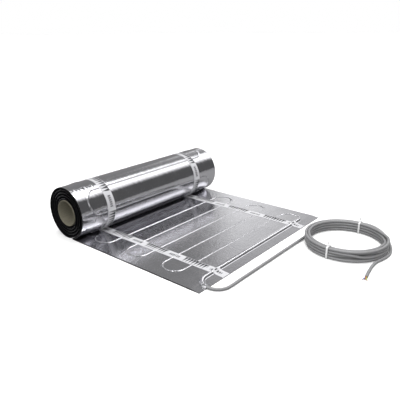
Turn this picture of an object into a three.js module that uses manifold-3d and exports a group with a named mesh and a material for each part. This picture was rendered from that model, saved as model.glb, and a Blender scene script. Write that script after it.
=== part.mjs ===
// Underfloor heating mat: a foil-faced mat, half unrolled from its cardboard core,
// with its heating cable under the foil, two fixing tapes and a coiled cold lead.
// Millimetres, +Z up. Inside this file x runs along the roll from 0 to MAT_WIDTH, y is 0 at the
// line where the roll touches the floor, and the unrolled length runs towards -y.
import * as THREE from 'three';
import { mergeVertices } from 'three/addons/utils/BufferGeometryUtils.js';
import Module from 'manifold-3d';

const wasm = await Module();
wasm.setup();

// Driving dimensions of the mat and its roll
const MAT_WIDTH = 500;
const FLAT_LENGTH = 415;
const ROLL_RADIUS = 64.5;
const TURN_PITCH = 7;
const FOIL_THICKNESS = 0.3;
const BACKING_THICKNESS = 2.4;
const CORE_RADIUS = 32.4;
const CORE_WALL = 2;
const SEAM_WIDTH = 1.6;
const SEAM_DEPTH = 1.5;

// The heating cable and its runs
const CABLE_DIAMETER = 2.4;
const CABLE_SINK = 1.5;
const SIDE_MARGIN = 27;
const FIRST_RUN = 29;
const RUN_SPACING = 56;
const FLAT_RUNS = 7;
const ROLL_RUNS = 6;
const ROLL_FIRST_RUN = 147.5;
const ROLL_RUN_STEP = 56;

// The fixing tapes
const TAPE_WIDTH = 23;
const TAPE_INSET = 76.5;
const TAPE_THICKNESS = 0.3;

// The cold lead, its coil and its stripped end
const LEAD_DIAMETER = 6.5;
const LEAD_FLOOR_UNDER = 0.6;
const LEAD_TURN_RADIUS = 31;
const COIL_CENTRE_X = 384;
const COIL_CENTRE_BEYOND_EDGE = 127;
const COIL_RADIUS = 88.5;
const COIL_COLUMNS = 2;
const COIL_ROWS = 4;
const STRAND_PITCH = 6.7;
const TAIL_START_ANGLE = -15;
const TAIL_LEAVES_ANGLE = -105;
const CONDUCTOR_DIAMETER = 2;
const CONDUCTOR_LENGTH = 12;
const COPPER_DIAMETER = 1.2;
const COPPER_LENGTH = 5;

// The cable ties around the coil
const TIE_WIDTH = 4.5;
const TIE_THICKNESS = 1.1;
const TIE_ANGLES = { left: 178, right: 2 };
const TIE_HEAD = { radial: 5.5, along: 6.5, height: 5 };
const TIE_TAIL = { thickness: 1, width: 3.6, height: 7 };

// Clearances between pieces that touch
const GAP = 0.3;
const FLOOR_GAP = 0.5;

// Facets
const ROLL_SEGMENTS = 48;
const COIL_SEGMENTS = 48;
const CABLE_SIDES = 6;
const LEAD_SIDES = 8;
const LOOP_STEPS = 8;
const SLIVER = 0.01;

// Sizes that follow from the ones above
const LAYERS = FOIL_THICKNESS + GAP;
const MAT_THICKNESS = BACKING_THICKNESS + LAYERS;
const CABLE_RADIUS = CABLE_DIAMETER / 2;
const LEAD_RADIUS = LEAD_DIAMETER / 2;
const CABLE_HEIGHT = BACKING_THICKNESS - CABLE_SINK + GAP + CABLE_RADIUS + GAP;
const CABLE_DEPTH = MAT_THICKNESS - CABLE_HEIGHT;
const LEAD_HEIGHT = LEAD_FLOOR_UNDER + GAP + LEAD_RADIUS;
const TAPE_TOP = GAP + TAPE_THICKNESS;
const NEAR_X = SIDE_MARGIN + RUN_SPACING / 2;
const FAR_X = MAT_WIDTH - NEAR_X;
const EDGE_Y = -FLAT_LENGTH;
const CUT_MARGIN = 10;

const foilLook = new THREE.MeshStandardMaterial({ color: 0xb4b4ba, metalness: 1, roughness: 0.25 });
const backingLook = new THREE.MeshStandardMaterial({ color: 0x17171a, metalness: 0, roughness: 0.9 });
const boardLook = new THREE.MeshStandardMaterial({ color: 0x7d7762, metalness: 0, roughness: 0.85 });
const cableLook = new THREE.MeshStandardMaterial({ color: 0xb9bbc0, metalness: 0, roughness: 0.5 });
const tapeLook = new THREE.MeshStandardMaterial({ color: 0xd9d9df, metalness: 0, roughness: 0.35 });
const leadLook = new THREE.MeshStandardMaterial({ color: 0x7c7d80, metalness: 0, roughness: 0.5 });
const tieLook = new THREE.MeshStandardMaterial({ color: 0xeeeef0, metalness: 0, roughness: 0.4 });
const brownLook = new THREE.MeshStandardMaterial({ color: 0xb5661c, metalness: 0, roughness: 0.5 });
const blueLook = new THREE.MeshStandardMaterial({ color: 0x3f6fb5, metalness: 0, roughness: 0.5 });
const earthLook = new THREE.MeshStandardMaterial({ color: 0xa9bf4a, metalness: 0, roughness: 0.5 });
const copperLook = new THREE.MeshStandardMaterial({ color: 0xc4705a, metalness: 1, roughness: 0.35 });

const mat = new THREE.Group();
const sheetAndRoll = new THREE.Group();
const lead = new THREE.Group();
mat.add(sheetAndRoll, lead);

function addPiece(group, name, geometry, material) {
  const mesh = new THREE.Mesh(geometry, material);
  mesh.name = name;
  group.add(mesh);
}

// A closed geometry as a solid that can be joined and cut
function toSolid(geometry) {
  const bare = geometry.clone();
  bare.deleteAttribute('normal');
  bare.deleteAttribute('uv');
  const merged = mergeVertices(bare, 1e-4);
  return new wasm.Manifold(new wasm.Mesh({
    numProp: 3,
    vertProperties: new Float32Array(merged.attributes.position.array),
    triVerts: new Uint32Array(merged.index.array),
  }));
}

// The surface of a solid, with facets thinner than SLIVER merged into their neighbours
function toGeometry(solid) {
  const mesh = solid.simplify(SLIVER).getMesh();
  const geometry = new THREE.BufferGeometry();
  geometry.setAttribute('position', new THREE.BufferAttribute(mesh.vertProperties, 3));
  geometry.setIndex(new THREE.BufferAttribute(mesh.triVerts, 1));
  return geometry;
}

function box(low, high) {
  const size = high.map((value, axis) => value - low[axis]);
  const middle = high.map((value, axis) => (value + low[axis]) / 2);
  return new THREE.BoxGeometry(...size).translate(...middle);
}

// A route through given points: each point is one step, and each section halves the corner
class Route extends THREE.Curve {
  constructor(points) {
    super();
    this.points = points;
  }

  getUtoTmapping(u) {
    return u;
  }

  indexAt(t) {
    return Math.round(t * (this.points.length - 1));
  }

  getPoint(t, target = new THREE.Vector3()) {
    return target.copy(this.points[this.indexAt(t)]);
  }

  getTangent(t, target = new THREE.Vector3()) {
    const index = this.indexAt(t);
    const last = this.points.length - 1;
    const here = this.points[index];
    const before = this.points[Math.max(index - 1, 0)];
    const after = this.points[Math.min(index + 1, last)];
    const arriving = here.clone().sub(before).normalize();
    const leaving = after.clone().sub(here).normalize();
    return target.copy(arriving).add(leaving).normalize();
  }
}

function tube(points, radius, sides) {
  const corners = Array.from({ length: sides }, (unused, side) => {
    const angle = (2 * Math.PI * (side + 0.5)) / sides;
    return new THREE.Vector2(radius * Math.cos(angle), radius * Math.sin(angle));
  });
  return new THREE.ExtrudeGeometry(new THREE.Shape(corners), {
    steps: points.length - 1,
    extrudePath: new Route(points),
  });
}

// A turned piece about the roll's own axis, from pairs of x and radius that close on themselves
function turnedOnRoll(profile) {
  const outline = profile.map(([x, radius]) => new THREE.Vector2(radius, x));
  return new THREE.LatheGeometry([...outline, outline[0].clone()], ROLL_SEGMENTS)
    .rotateZ(-Math.PI / 2)
    .rotateX(Math.PI / 2)
    .translate(0, 0, ROLL_RADIUS);
}

// Places on the mat: a point of the flat stretch, and a point of the roll's outer turn, whose
// angle is 0 at the top, positive towards the unrolled length and negative behind
function onFlat(x, distance, height) {
  return new THREE.Vector3(x, EDGE_Y + distance, height);
}

function onRoll(x, degrees, depth) {
  const radius = ROLL_RADIUS - depth;
  const angle = THREE.MathUtils.degToRad(degrees);
  return new THREE.Vector3(x, -radius * Math.sin(angle), ROLL_RADIUS + radius * Math.cos(angle));
}

// Half a loop from one run to the next, cut short at the given part of the way
function loop(place, side, from, step, part = 1) {
  const startX = side > 0 ? FAR_X : NEAR_X;
  const steps = Math.round(LOOP_STEPS * part);
  return Array.from({ length: steps + 1 }, (unused, index) => {
    const angle = (Math.PI * part * index) / steps;
    const along = from + (step / 2) * (1 - Math.cos(angle));
    return place(startX + side * (RUN_SPACING / 2) * Math.sin(angle), along);
  });
}

// The cable in the flat stretch: runs joined by loops, the first loop on the far side
function flatCableRoute() {
  const place = (x, distance) => onFlat(x, distance, CABLE_HEIGHT);
  const points = [];
  for (let run = 0; run < FLAT_RUNS - 1; run += 1) {
    const side = run % 2 === 0 ? 1 : -1;
    points.push(...loop(place, side, FIRST_RUN + run * RUN_SPACING, RUN_SPACING));
  }
  const lastRun = FIRST_RUN + (FLAT_RUNS - 1) * RUN_SPACING;
  points.push(...loop(place, 1, lastRun, RUN_SPACING, 3 / 8));
  return points;
}

// The cable in the roll's outer turn, from the roll's foot over the top and down behind
function rollCableRoute() {
  const place = (x, degrees) => onRoll(x, degrees, CABLE_DEPTH);
  const points = loop(place, -1, ROLL_FIRST_RUN, ROLL_RUN_STEP, 1 / 4).reverse();
  for (let run = 0; run < ROLL_RUNS - 1; run += 1) {
    const side = run % 2 === 0 ? 1 : -1;
    points.push(...loop(place, side, ROLL_FIRST_RUN - run * ROLL_RUN_STEP, -ROLL_RUN_STEP));
  }
  const lastRun = ROLL_FIRST_RUN - (ROLL_RUNS - 1) * ROLL_RUN_STEP;
  points.push(...loop(place, -1, lastRun, -ROLL_RUN_STEP, 3 / 8));
  return points;
}

// The cold lead's end under the foil, along the first run and round to the mat's front edge
const leadTurn = { x: SIDE_MARGIN - 3 + LEAD_TURN_RADIUS, y: EDGE_Y + FIRST_RUN - LEAD_TURN_RADIUS };

function leadTurnPoint(degrees, height) {
  const angle = THREE.MathUtils.degToRad(degrees);
  const x = leadTurn.x + LEAD_TURN_RADIUS * Math.cos(angle);
  return new THREE.Vector3(x, leadTurn.y + LEAD_TURN_RADIUS * Math.sin(angle), height);
}

function heldLeadRoute() {
  const points = [onFlat(FAR_X - GAP, FIRST_RUN, LEAD_HEIGHT)];
  for (let degrees = 90; degrees <= 180; degrees += 15) {
    points.push(leadTurnPoint(degrees, LEAD_HEIGHT));
  }
  const apex = points.at(-1);
  points.push(new THREE.Vector3(apex.x, apex.y - CUT_MARGIN, LEAD_HEIGHT));
  return points;
}

const flatCable = flatCableRoute();
const rollCable = rollCableRoute();
const heldLead = heldLeadRoute();

// A tube as a solid, lengthened at both ends by the given amount
function solidTube(points, radius, sides, lengthen = 0) {
  const [first, second] = points;
  const [beforeLast, last] = points.slice(-2);
  const start = first.clone().addScaledVector(first.clone().sub(second).normalize(), lengthen);
  const end = last.clone().addScaledVector(last.clone().sub(beforeLast).normalize(), lengthen);
  return toSolid(tube([start, ...points.slice(1, -1), end], radius, sides));
}

// Everything below a surface that lies the given height over the foil, with its cable ridges
function upTo(height, overhang) {
  const radius = ROLL_RADIUS + height;
  const rod = [[-overhang, 0], [-overhang, radius], [MAT_WIDTH + overhang, radius], [MAT_WIDTH + overhang, 0]];
  const round = toSolid(turnedOnRoll(rod));
  const low = [-overhang, EDGE_Y - overhang, -CUT_MARGIN];
  const high = [MAT_WIDTH + overhang, 0, MAT_THICKNESS + height];
  const cover = FOIL_THICKNESS + GAP + height;
  return round
    .add(toSolid(box(low, high)))
    .add(solidTube(flatCable, CABLE_RADIUS + cover, CABLE_SIDES, cover))
    .add(solidTube(rollCable, CABLE_RADIUS + cover, CABLE_SIDES, cover))
    .add(solidTube(heldLead, LEAD_RADIUS + cover, LEAD_SIDES, cover));
}

// A thin layer between two heights over the foil, ending at the front edge and above the floor
function layer(bottom, top, lowX, highX, floorGap) {
  const space = toSolid(box([lowX, EDGE_Y, floorGap], [highX, 2 * ROLL_RADIUS, 4 * ROLL_RADIUS]));
  return upTo(top, 0).subtract(upTo(bottom, 1)).intersect(space);
}

function backing() {
  const inner = CORE_RADIUS + GAP;
  const outer = ROLL_RADIUS - LAYERS;
  const nearEnd = [[0, inner]];
  for (let radius = outer - TURN_PITCH; radius > inner + SEAM_WIDTH; radius -= TURN_PITCH) {
    nearEnd.splice(1, 0, [0, radius - SEAM_WIDTH / 2], [SEAM_DEPTH, radius], [0, radius + SEAM_WIDTH / 2]);
  }
  nearEnd.push([0, outer]);
  const farEnd = nearEnd.map(([x, radius]) => [MAT_WIDTH - x, radius]).reverse();
  const roll = toSolid(turnedOnRoll([...nearEnd, ...farEnd]));
  const sheet = toSolid(box([0, EDGE_Y, 0], [MAT_WIDTH, 0, BACKING_THICKNESS]));
  return roll
    .add(sheet)
    .subtract(solidTube(flatCable, CABLE_RADIUS + GAP, CABLE_SIDES, GAP))
    .subtract(solidTube(rollCable, CABLE_RADIUS + GAP, CABLE_SIDES, GAP))
    .subtract(solidTube(heldLead, LEAD_RADIUS + GAP, LEAD_SIDES, GAP));
}

function coreTube() {
  const inner = CORE_RADIUS - CORE_WALL;
  return turnedOnRoll([[0, inner], [0, CORE_RADIUS], [MAT_WIDTH, CORE_RADIUS], [MAT_WIDTH, inner]]);
}

function leadUnderFoil() {
  const overMat = box([0, EDGE_Y + GAP, 0], [MAT_WIDTH, 0, ROLL_RADIUS]);
  return solidTube(heldLead, LEAD_RADIUS, LEAD_SIDES).intersect(toSolid(overMat));
}

addPiece(sheetAndRoll, 'backing_layer', toGeometry(backing()), backingLook);
addPiece(sheetAndRoll, 'foil_face', toGeometry(layer(-FOIL_THICKNESS, 0, 0, MAT_WIDTH, FLOOR_GAP)), foilLook);
addPiece(sheetAndRoll, 'core_tube', coreTube(), boardLook);
addPiece(sheetAndRoll, 'heating_cable_unrolled', tube(flatCable, CABLE_RADIUS, CABLE_SIDES), cableLook);
addPiece(sheetAndRoll, 'heating_cable_on_roll', tube(rollCable, CABLE_RADIUS, CABLE_SIDES), cableLook);
addPiece(sheetAndRoll, 'cold_lead_under_foil', toGeometry(leadUnderFoil()), leadLook);

const tapeStarts = { left: TAPE_INSET, right: MAT_WIDTH - TAPE_INSET - TAPE_WIDTH };
for (const [name, x] of Object.entries(tapeStarts)) {
  const strip = layer(GAP, TAPE_TOP, x, x + TAPE_WIDTH, FLOOR_GAP + GAP);
  addPiece(sheetAndRoll, `fixing_tape_${name}`, toGeometry(strip), tapeLook);
}

// The coil: one ring of the outer shape of its turns, standing on the ties' straps
const coilCentre = { x: COIL_CENTRE_X, y: EDGE_Y - COIL_CENTRE_BEYOND_EDGE };
const coilBottom = TIE_THICKNESS + GAP;
const coilHalfWidth = ((COIL_COLUMNS - 1) * STRAND_PITCH + LEAD_DIAMETER) / 2;
const coilHeight = (COIL_ROWS - 1) * STRAND_PITCH + LEAD_DIAMETER;
const coilOuterRadius = COIL_RADIUS + coilHalfWidth;
const strandOuterRadius = COIL_RADIUS + ((COIL_COLUMNS - 1) * STRAND_PITCH) / 2;

// A rectangle with round corners, centred on the middle of the coil's section
function roundedSection(grow) {
  const halfWidth = coilHalfWidth + grow;
  const halfHeight = coilHeight / 2 + grow;
  const corner = LEAD_RADIUS + grow;
  const outline = new THREE.Path();
  outline.absarc(halfWidth - corner, halfHeight - corner, corner, 0, Math.PI / 2);
  outline.absarc(-halfWidth + corner, halfHeight - corner, corner, Math.PI / 2, Math.PI);
  outline.absarc(-halfWidth + corner, -halfHeight + corner, corner, Math.PI, 1.5 * Math.PI);
  outline.absarc(halfWidth - corner, -halfHeight + corner, corner, 1.5 * Math.PI, 2 * Math.PI);
  return outline.getPoints(1);
}

function coilRing() {
  const middle = coilBottom + coilHeight / 2;
  const outline = roundedSection(0).map((point) => new THREE.Vector2(COIL_RADIUS + point.x, point.y));
  const closed = [...outline, outline[0].clone()];
  return new THREE.LatheGeometry(closed, COIL_SEGMENTS)
    .rotateX(Math.PI / 2)
    .translate(coilCentre.x, coilCentre.y, middle);
}

function cableTie(degrees) {
  const strap = new THREE.Shape(roundedSection(GAP + TIE_THICKNESS));
  strap.holes.push(new THREE.Path(roundedSection(GAP)));
  const band = new THREE.ExtrudeGeometry(strap, { depth: TIE_WIDTH, bevelEnabled: false })
    .translate(0, 0, -TIE_WIDTH / 2)
    .rotateX(Math.PI / 2);
  const top = coilHeight / 2 + GAP;
  const head = box(
    [-TIE_HEAD.radial / 2, -TIE_HEAD.along / 2, top + GAP],
    [TIE_HEAD.radial / 2, TIE_HEAD.along / 2, top + TIE_HEAD.height],
  );
  const end = box(
    [-TIE_TAIL.thickness / 2, -TIE_TAIL.width / 2, top + TIE_HEAD.height / 2],
    [TIE_TAIL.thickness / 2, TIE_TAIL.width / 2, top + TIE_HEAD.height + TIE_TAIL.height],
  );
  const angle = THREE.MathUtils.degToRad(degrees);
  const geometry = toGeometry(toSolid(band).add(toSolid(head)).add(toSolid(end)));
  return geometry
    .translate(COIL_RADIUS, 0, coilBottom + coilHeight / 2)
    .rotateZ(angle)
    .translate(coilCentre.x, coilCentre.y, 0);
}

addPiece(lead, 'cold_lead_coil', coilRing(), leadLook);
for (const [name, degrees] of Object.entries(TIE_ANGLES)) {
  addPiece(lead, `cable_tie_${name}`, cableTie(degrees), tieLook);
}

// The lead from the mat's edge to the coil, which it joins at the coil's side nearest the mat
function leadRoute() {
  const floorHeight = LEAD_RADIUS;
  const apexX = leadTurn.x - LEAD_TURN_RADIUS;
  const points = [new THREE.Vector3(apexX, EDGE_Y, LEAD_HEIGHT)];
  for (let degrees = 190; degrees < 270; degrees += 16) {
    const part = Math.min((degrees - 180) / 60, 1);
    points.push(leadTurnPoint(degrees, THREE.MathUtils.lerp(LEAD_HEIGHT, floorHeight, part)));
  }
  points.push(leadTurnPoint(270, floorHeight));
  const clear = coilOuterRadius + GAP + LEAD_RADIUS;
  const meetX = coilCentre.x - Math.sqrt(clear ** 2 - strandOuterRadius ** 2);
  const meetY = coilCentre.y + strandOuterRadius;
  const endHeight = coilBottom + LEAD_RADIUS;
  const start = points.at(-1);
  for (const part of [0.25, 0.5, 0.75, 1]) {
    const height = THREE.MathUtils.lerp(floorHeight, endHeight, part);
    const x = THREE.MathUtils.lerp(start.x, meetX, part);
    points.push(new THREE.Vector3(x, THREE.MathUtils.lerp(start.y, meetY, part), height));
  }
  return points;
}

// The last part-turn comes down outside the coil and runs off over the floor
function tailRoute() {
  const step = 10;
  const chordSag = Math.cos(THREE.MathUtils.degToRad(step / 2));
  const radius = (coilOuterRadius + GAP + LEAD_RADIUS) / chordSag;
  const startHeight = coilBottom + coilHeight / 2;
  const points = [];
  for (let degrees = TAIL_START_ANGLE; degrees >= TAIL_LEAVES_ANGLE; degrees -= step) {
    const angle = THREE.MathUtils.degToRad(degrees);
    const part = Math.min((TAIL_START_ANGLE - degrees) / 60, 1);
    const height = THREE.MathUtils.lerp(startHeight, LEAD_RADIUS, part);
    const x = coilCentre.x + radius * Math.cos(angle);
    points.push(new THREE.Vector3(x, coilCentre.y + radius * Math.sin(angle), height));
  }
  for (const [x, y] of [[340, -633], [320, -632], [300, -633.5], [280, -636.5], [260, -640]]) {
    points.push(new THREE.Vector3(x, y, LEAD_RADIUS));
  }
  return points;
}

const tail = tailRoute();
addPiece(lead, 'cold_lead', tube(leadRoute(), LEAD_RADIUS, LEAD_SIDES), leadLook);
addPiece(lead, 'cold_lead_tail', tube(tail, LEAD_RADIUS, LEAD_SIDES), leadLook);

// The stripped end: three insulated conductors that fan out, each with a bare copper end
const tailEnd = tail.at(-1);
const tailHeading = tailEnd.clone().sub(tail.at(-2)).normalize();
const acrossTail = new THREE.Vector3(0, 0, 1).cross(tailHeading);
const conductors = [
  { name: 'blue', across: -1, rise: -0.6, fan: -0.35, look: blueLook },
  { name: 'brown', across: 0, rise: 0.9, fan: 0.02, look: brownLook },
  { name: 'earth', across: 1, rise: -0.6, fan: 0.35, look: earthLook },
];
for (const { name, across, rise, fan, look } of conductors) {
  const start = tailEnd.clone()
    .addScaledVector(tailHeading, GAP)
    .addScaledVector(acrossTail, across * (CONDUCTOR_DIAMETER / 2 + GAP))
    .add(new THREE.Vector3(0, 0, rise));
  const heading = tailHeading.clone().addScaledVector(acrossTail, fan).normalize();
  const bend = start.clone().addScaledVector(tailHeading, CONDUCTOR_LENGTH * 0.3);
  const end = bend.clone().addScaledVector(heading, CONDUCTOR_LENGTH * 0.7);
  addPiece(lead, `conductor_${name}`, tube([start, bend, end], CONDUCTOR_DIAMETER / 2, CABLE_SIDES), look);
  const bareStart = end.clone().addScaledVector(heading, GAP);
  const bareEnd = bareStart.clone().addScaledVector(heading, COPPER_LENGTH);
  addPiece(lead, `copper_end_${name}`, tube([bareStart, bareEnd], COPPER_DIAMETER / 2, CABLE_SIDES), copperLook);
}

// The part's origin: under the middle of the sheet with its roll, on the floor
const middle = new THREE.Box3().setFromObject(sheetAndRoll, true).getCenter(new THREE.Vector3());
mat.position.set(-middle.x, -middle.y, 0);
mat.updateMatrixWorld(true);

export default mat;
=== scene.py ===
# %% [markdown]
# # A foil-faced underfloor heating mat
# The real mat is a black underlay with a bright foil glued on top. A thin heating cable zigzags
# under the foil and shows as ridges. Most of the mat is still wound on a board core, two tapes hold
# the cable down, and a thicker grey lead ends in a tied coil.
# The CAD model already fixes every size and place, so this lesson only gives each piece its fine
# shape and its finish.

# %% The frame
import math

import bmesh
import bpy
import numpy as np
from mathutils import Matrix, Vector

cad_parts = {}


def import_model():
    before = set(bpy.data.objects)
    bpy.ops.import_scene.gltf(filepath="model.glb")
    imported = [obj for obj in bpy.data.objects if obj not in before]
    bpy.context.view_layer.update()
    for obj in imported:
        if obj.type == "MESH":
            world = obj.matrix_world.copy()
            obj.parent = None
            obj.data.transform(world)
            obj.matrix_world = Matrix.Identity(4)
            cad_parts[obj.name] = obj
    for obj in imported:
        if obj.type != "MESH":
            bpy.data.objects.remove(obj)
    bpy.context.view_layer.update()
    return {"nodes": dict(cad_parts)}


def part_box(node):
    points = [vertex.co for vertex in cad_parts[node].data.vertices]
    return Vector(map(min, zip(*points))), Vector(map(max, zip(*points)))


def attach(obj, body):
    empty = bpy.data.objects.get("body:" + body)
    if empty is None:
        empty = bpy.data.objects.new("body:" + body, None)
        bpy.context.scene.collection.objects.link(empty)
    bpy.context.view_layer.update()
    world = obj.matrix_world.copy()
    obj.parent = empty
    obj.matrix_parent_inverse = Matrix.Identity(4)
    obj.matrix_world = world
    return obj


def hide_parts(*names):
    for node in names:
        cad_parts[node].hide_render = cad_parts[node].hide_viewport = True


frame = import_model()

# %% [markdown]
# ## Places
# The mat is easiest to describe in millimetres, from its own left side and from the line where the
# roll touches the floor. Two CAD boxes give those lines, so nothing has to be fitted by eye.

# %% Places that the frame gives
MM = 0.001
sheet_low, sheet_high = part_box("backing_layer")
core_low, core_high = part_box("core_tube")
LEFT = sheet_low.x / MM
AXIS_Y = (core_low.y + core_high.y) / 2 / MM
ROLL_RADIUS = (core_low.z + core_high.z) / 2 / MM
FRONT = sheet_low.y / MM - AXIS_Y
WIDTH = (sheet_high.x - sheet_low.x) / MM
CORE_RADIUS = (core_high.z - core_low.z) / 2 / MM


def at(x, y, z):
    """A point in metres from millimetres beside the mat's left side and the roll's floor line."""
    return Vector(((LEFT + x) * MM, (AXIS_Y + y) * MM, z * MM))


print("width", round(WIDTH, 2), "unrolled", round(-FRONT, 2), "roll radius", round(ROLL_RADIUS, 2))

# %% [markdown]
# ## Camera
# The picture is taken from the left and in front, from about half a metre up. A pinhole camera was
# fitted to the edges of the mat and the roll, and its place, aim, roll and lens are the values here.

# %% Camera
CAMERA_PLACE = (-611.96, -928.37, 480.06)
CAMERA_AIM = (410.66, -77.01, 0)
CAMERA_ROLL = math.radians(-0.43)
CAMERA_LENS = 42.81

camera_place = at(*CAMERA_PLACE)
looking = (at(*CAMERA_AIM) - camera_place).normalized()
level = looking.cross(Vector((0, 0, 1))).normalized()
upwards = level.cross(looking)
across = math.cos(CAMERA_ROLL) * level + math.sin(CAMERA_ROLL) * upwards
above = -math.sin(CAMERA_ROLL) * level + math.cos(CAMERA_ROLL) * upwards

camera = bpy.data.objects.new("camera", bpy.data.cameras.new("camera"))
bpy.context.collection.objects.link(camera)
turn = Matrix((across, above, -looking)).transposed().to_4x4()
camera.matrix_world = Matrix.Translation(camera_place) @ turn
camera.data.lens = CAMERA_LENS
camera.data.sensor_width = 36
camera.data.clip_end = 100
bpy.context.scene.camera = camera
print("camera at", tuple(round(value, 3) for value in camera_place))

# %% [markdown]
# ## The lead
# The grey lead comes out of the mat's front edge, bends round, runs along the floor and is wound into
# a coil. A curve with a round section suits a cable: its line stays one smooth path of a known length.
# The loose stretch is a short list of points, and the coil is a loop.
# The turns lie two wide and four high. Each time the lead has gone nearly round, it moves over to
# the next free place, a little earlier than the turn before, so that it never runs through itself.
# Lengths are in millimetres, and how far the lead has wound on is counted in degrees.

# %% The loose stretch of the lead
LEAD_RADIUS = 3.25
LEAD_UNDER_HEIGHT = 4.15
LEAD_TURN_RADIUS = 31
LEAD_TURN = (55, FRONT - 2)
COIL_CENTRE = (384, FRONT - 127)
STRAND_PITCH = 6.7
INNER_COLUMN = 85.15
OUTER_COLUMN = INNER_COLUMN + STRAND_PITCH
LOWEST_STRAND = 4.65
BEND_DEGREES = range(190, 271, 16)
DROP_DEGREES = 60
LOOSE_X = (90, 130, 175, 220, 265, 305, 345)


def mix(low, high, part):
    """The value at some part of the way from low to high."""
    return low + (high - low) * part


def smooth(value, start, end):
    """0 before start, 1 after end, and an even slope between."""
    part = min(max((value - start) / (end - start), 0), 1)
    return part * part * (3 - 2 * part)


lead_points = [(LEAD_TURN[0] - LEAD_TURN_RADIUS, FRONT, LEAD_UNDER_HEIGHT)]
for degrees in BEND_DEGREES:
    angle = math.radians(degrees)
    drop = min((degrees - 180) / DROP_DEGREES, 1)
    lead_x = LEAD_TURN[0] + LEAD_TURN_RADIUS * math.cos(angle)
    lead_y = LEAD_TURN[1] + LEAD_TURN_RADIUS * math.sin(angle)
    lead_points.append((lead_x, lead_y, mix(LEAD_UNDER_HEIGHT, LEAD_RADIUS, drop)))
coil_start_y = COIL_CENTRE[1] + OUTER_COLUMN
for lead_x in LOOSE_X:
    lead_part = (lead_x - LEAD_TURN[0]) / (LOOSE_X[-1] - LEAD_TURN[0])
    lead_y = mix(LEAD_TURN[1] - LEAD_TURN_RADIUS, coil_start_y, lead_part)
    lead_points.append((lead_x, lead_y, mix(LEAD_RADIUS, LOWEST_STRAND, lead_part)))
print("points in the loose stretch:", len(lead_points))

# %% The coil and the tail
COIL_PLACES = [(1, 0), (0, 0), (0, 1), (1, 1), (1, 2), (0, 2), (0, 3), (1, 3)]
FIRST_MOVE = 305
MOVE = 30
SEVEN_TURNS = 7 * 360
TAIL_COMES_OUT = SEVEN_TURNS + 93
TAIL_OUT_LENGTH = 24
TAIL_DOWN_START = 4
TAIL_DOWN_END = 72
TAIL_RADIUS = 99.03
COIL_END = SEVEN_TURNS + 195
COIL_STEP = 15
TAIL_END = [(340, -633), (320, -632), (300, -633.5), (280, -636.5), (260, -640)]


def coil_section(wound):
    """Radius and height of the lead after it has wound on by some degrees."""
    column, row = COIL_PLACES[0]
    for number, (next_column, next_row) in enumerate(COIL_PLACES[1:]):
        begins = FIRST_MOVE + number * (360 - MOVE)
        done = smooth(wound, begins, begins + MOVE)
        column = mix(column, next_column, done)
        row = mix(row, next_row, done)
    radius = INNER_COLUMN + STRAND_PITCH * column
    height = LOWEST_STRAND + STRAND_PITCH * row
    out = smooth(wound, TAIL_COMES_OUT, TAIL_COMES_OUT + TAIL_OUT_LENGTH)
    down = smooth(wound, TAIL_COMES_OUT + TAIL_DOWN_START, TAIL_COMES_OUT + TAIL_DOWN_END)
    return mix(radius, TAIL_RADIUS, out), mix(height, LEAD_RADIUS, down)


wound = 0
while wound <= COIL_END:
    radius, height = coil_section(wound)
    angle = math.radians(90 - wound)
    coil_x = COIL_CENTRE[0] + radius * math.cos(angle)
    lead_points.append((coil_x, COIL_CENTRE[1] + radius * math.sin(angle), height))
    wound += COIL_STEP
lead_points += [(x, y, LEAD_RADIUS) for x, y in TAIL_END]


def route_length(points):
    return sum((at(*b) - at(*a)).length for a, b in zip(points, points[1:]))


print("points in the lead:", len(lead_points), "length", round(route_length(lead_points), 3))


# %% A tube along points
def tube(name, routes, radius, steps=4, roundness=5):
    """One curve object with a smooth line through each list of points, and closed ends."""
    line = bpy.data.curves.new(name, "CURVE")
    line.dimensions = "3D"
    line.resolution_u = steps
    line.bevel_depth = radius * MM
    line.bevel_resolution = roundness
    line.use_fill_caps = True
    for route in routes:
        spline = line.splines.new("BEZIER")
        spline.bezier_points.add(len(route) - 1)
        for knot, point in zip(spline.bezier_points, route):
            knot.co = at(*point)
            knot.handle_left_type = "AUTO"
            knot.handle_right_type = "AUTO"
    piece = bpy.data.objects.new(name, line)
    bpy.context.collection.objects.link(piece)
    return piece


lead = tube("grey_cold_lead", [lead_points], LEAD_RADIUS)
print(lead.name, "has", len(lead.data.splines[0].bezier_points), "knots")

# %% [markdown]
# ## Nodes as sums
# Materials and geometry trees are easier to read as formulas. The class below wraps a socket, so that
# a + b or 1 - a adds the Math node. Every other node comes from one method, node(), which sets the
# node's own settings first and then its sockets.


# %% A socket that adds up
def find_socket(sockets, key):
    if isinstance(key, int):
        return sockets[key]
    for socket in sockets:
        if socket.identifier == key:
            return socket
    return sockets[key]


class Wire:
    """An output socket of a node tree, usable in a formula."""

    def __init__(self, tree, socket):
        self.tree = tree
        self.socket = socket

    def math(self, operation, *others):
        keys = ("Value", "Value_001", "Value_002")
        values = dict(zip(keys, (self, *others)))
        return self.tree.node("ShaderNodeMath", values, operation=operation)

    def reflected(self, operation, first):
        values = {"Value": first, "Value_001": self}
        return self.tree.node("ShaderNodeMath", values, operation=operation)

    def __add__(self, other):
        return self.math("ADD", other)

    def __sub__(self, other):
        return self.math("SUBTRACT", other)

    def __mul__(self, other):
        return self.math("MULTIPLY", other)

    def __truediv__(self, other):
        return self.math("DIVIDE", other)

    def __lt__(self, other):
        return self.math("LESS_THAN", other)

    def __gt__(self, other):
        return self.math("GREATER_THAN", other)

    def __rsub__(self, other):
        return self.reflected("SUBTRACT", other)

    def __rtruediv__(self, other):
        return self.reflected("DIVIDE", other)

    __radd__ = __add__
    __rmul__ = __mul__


print("a socket now takes + - * / < and >")


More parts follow.
